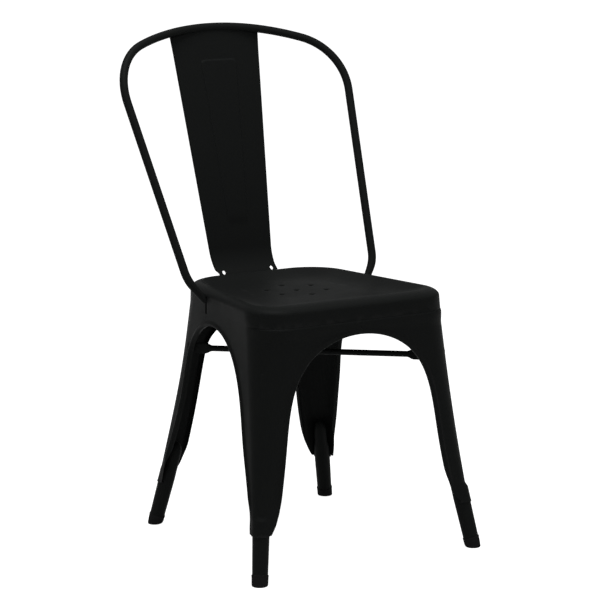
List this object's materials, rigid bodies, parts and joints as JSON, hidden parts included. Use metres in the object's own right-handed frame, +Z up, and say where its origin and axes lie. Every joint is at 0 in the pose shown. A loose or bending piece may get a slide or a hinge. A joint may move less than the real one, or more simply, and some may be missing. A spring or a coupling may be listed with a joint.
{
  "type": "bistro chair",
  "caption": "Stacking side chair of pressed sheet steel: dished seat with drain holes, flared legs with arched aprons, bent tube back with a tapered central splat.",
  "frame": {"origin": "on the floor, midway between the two sides, and midway between the front of the front glides and the back of the hoop", "axes": "+X to the right as seen from the front, +Y towards the back, +Z up"},
  "size_m": [0.448, 0.5119, 0.8492],
  "materials": {
    "black_powder_coat": "satin black powder coat on sheet steel and steel tube",
    "black_rubber": "matte black moulded rubber"
  },
  "bodies": {
    "root": {"back_hoop": "black_powder_coat", "back_splat": "black_powder_coat", "seat_pan": "black_powder_coat", "front_left_leg": "black_powder_coat", "front_right_leg": "black_powder_coat", "rear_left_leg": "black_powder_coat", "rear_right_leg": "black_powder_coat", "front_left_foot": "black_powder_coat", "front_right_foot": "black_powder_coat", "rear_left_foot": "black_powder_coat", "rear_right_foot": "black_powder_coat", "front_left_glide": "black_rubber", "front_right_glide": "black_rubber", "rear_left_glide": "black_rubber", "rear_right_glide": "black_rubber", "cross_brace_upper": "black_powder_coat", "cross_brace_lower": "black_powder_coat", "brace_rivet": "black_powder_coat", "front_strap": "black_powder_coat", "rear_strap": "black_powder_coat", "left_strap": "black_powder_coat", "right_strap": "black_powder_coat"}
  },
  "joints": []
}
